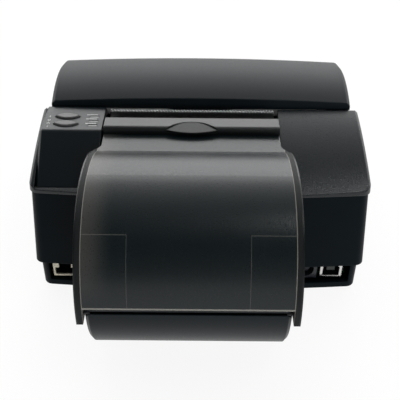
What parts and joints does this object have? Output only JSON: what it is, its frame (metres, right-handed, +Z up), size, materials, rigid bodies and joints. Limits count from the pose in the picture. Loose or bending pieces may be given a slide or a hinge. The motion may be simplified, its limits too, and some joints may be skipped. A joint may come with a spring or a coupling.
{
  "type": "receipt printer",
  "caption": "Desktop receipt printer with a smoked rear roll cover over a round paper bucket, a two-button panel and a hooded front slip station.",
  "frame": {"origin": "on the table under the middle of the whole object", "axes": "+Z up, +Y towards the rear where the paper bucket is, +X towards the control panel side"},
  "size_m": [0.1772, 0.2105, 0.098],
  "materials": {
    "case_plastic": "fine-grained black moulding",
    "panel_plastic": "satin black moulding",
    "button_plastic": "satin dark grey caps",
    "lamp": "pale light pipes",
    "board": "green circuit board",
    "bucket_plastic": "fine-grained black moulding",
    "steel": "ground steel",
    "frame_steel": "zinc-plated sheet",
    "smoked": "frosted smoked moulding",
    "grip": "satin black moulding",
    "roller_rubber": "ground black rubber",
    "gear_plastic": "white acetal",
    "motor_can": "dark coated can",
    "head": "aluminium back with ceramic strip",
    "shell": "bright plated shell",
    "jack": "cream moulding",
    "socket_plastic": "black moulding",
    "foot_rubber": "soft black rubber",
    "table_plastic": "dark grey moulding",
    "cassette": "dark moulding",
    "belt": "black belt"
  },
  "bodies": {
    "chassis": {"base_tray": "case_plastic", "lower_case": "case_plastic", "upper_case": "case_plastic", "control_panel": "panel_plastic", "led_windows": "lamp", "panel_board": "board", "paper_bucket": "bucket_plastic", "cover_hinge_pins": "steel", "feed_motor": "motor_can", "side_frame": "frame_steel", "head_bracket": "frame_steel", "print_head": "head", "head_leaf_spring": "steel", "tear_bar": "steel", "main_board": "board", "usb_socket": "shell", "drawer_socket": "jack", "power_socket": "socket_plastic", "rubber_feet": "foot_rubber", "case_screws": "steel", "hood_pins": "steel", "slip_table": "table_plastic", "guide_rods": "steel", "drive_belt": "belt", "pulley_studs": "steel", "carriage_motor": "motor_can"},
    "roll_cover": {"roll_cover": "smoked", "cover_grip_bar": "grip", "platen_bracket": "frame_steel", "platen_bushes": "gear_plastic"},
    "platen": {"platen_shaft": "steel", "platen_roller": "roller_rubber", "platen_gear": "gear_plastic"},
    "idler": {"idler_gear": "gear_plastic"},
    "pinion": {"motor_pinion": "steel"},
    "hood": {"hood": "case_plastic"},
    "carriage": {"print_carriage": "table_plastic", "ribbon_cassette": "cassette"},
    "drive_pulley": {"drive_pulley": "gear_plastic"},
    "idle_pulley": {"idle_pulley": "gear_plastic"},
    "power_button": {"power_button": "button_plastic"},
    "feed_button": {"feed_button": "button_plastic"}
  },
  "joints": [
    {"name": "cover_hinge", "type": "hinge", "parent": "chassis", "child": "roll_cover", "pos_m": [0.0046, 0.10075, 0.051], "axis": [-1, 0, 0], "range_deg": [0, 90]},
    {"name": "hood_hinge", "type": "hinge", "parent": "chassis", "child": "hood", "pos_m": [0, -0.09625, 0.056], "axis": [1, 0, 0], "range_deg": [0, 75]},
    {"name": "platen_spin", "type": "hinge", "parent": "roll_cover", "child": "platen", "pos_m": [0.0046, 0.00575, 0.077], "axis": [1, 0, 0], "continuous": true},
    {"name": "idler_spin", "type": "hinge", "parent": "chassis", "child": "idler", "pos_m": [0.047, 0.00142, 0.06189], "axis": [1, 0, 0], "continuous": true},
    {"name": "pinion_spin", "type": "hinge", "parent": "chassis", "child": "pinion", "pos_m": [0.047, 0.00471, 0.0496], "axis": [1, 0, 0], "continuous": true},
    {"name": "carriage_slide", "type": "slide", "parent": "chassis", "child": "carriage", "axis": [1, 0, 0], "range_m": [-0.041, 0.041]},
    {"name": "drive_pulley_spin", "type": "hinge", "parent": "chassis", "child": "drive_pulley", "pos_m": [0.069, -0.02425, 0.066], "axis": [0, 0, 1], "range_deg": [-420, 420]},
    {"name": "idle_pulley_spin", "type": "hinge", "parent": "chassis", "child": "idle_pulley", "pos_m": [-0.069, -0.02425, 0.066], "axis": [0, 0, 1], "range_deg": [-420, 420]},
    {"name": "power_press", "type": "slide", "parent": "chassis", "child": "power_button", "axis": [0, 0, -1], "range_m": [0, 0.0006], "stiffness_N_per_m": 400, "springref_m": -0.001},
    {"name": "feed_press", "type": "slide", "parent": "chassis", "child": "feed_button", "axis": [0, 0, -1], "range_m": [0, 0.0006], "stiffness_N_per_m": 400, "springref_m": -0.001}
  ],
  "couplings": [
    {"joint": "idler_spin", "follows": "platen_spin", "ratio": -0.73333},
    {"joint": "pinion_spin", "follows": "platen_spin", "ratio": 1.8333},
    {"joint": "drive_pulley_spin", "follows": "carriage_slide", "rad_per_m": 151.52},
    {"joint": "idle_pulley_spin", "follows": "carriage_slide", "rad_per_m": 151.52}
  ]
}
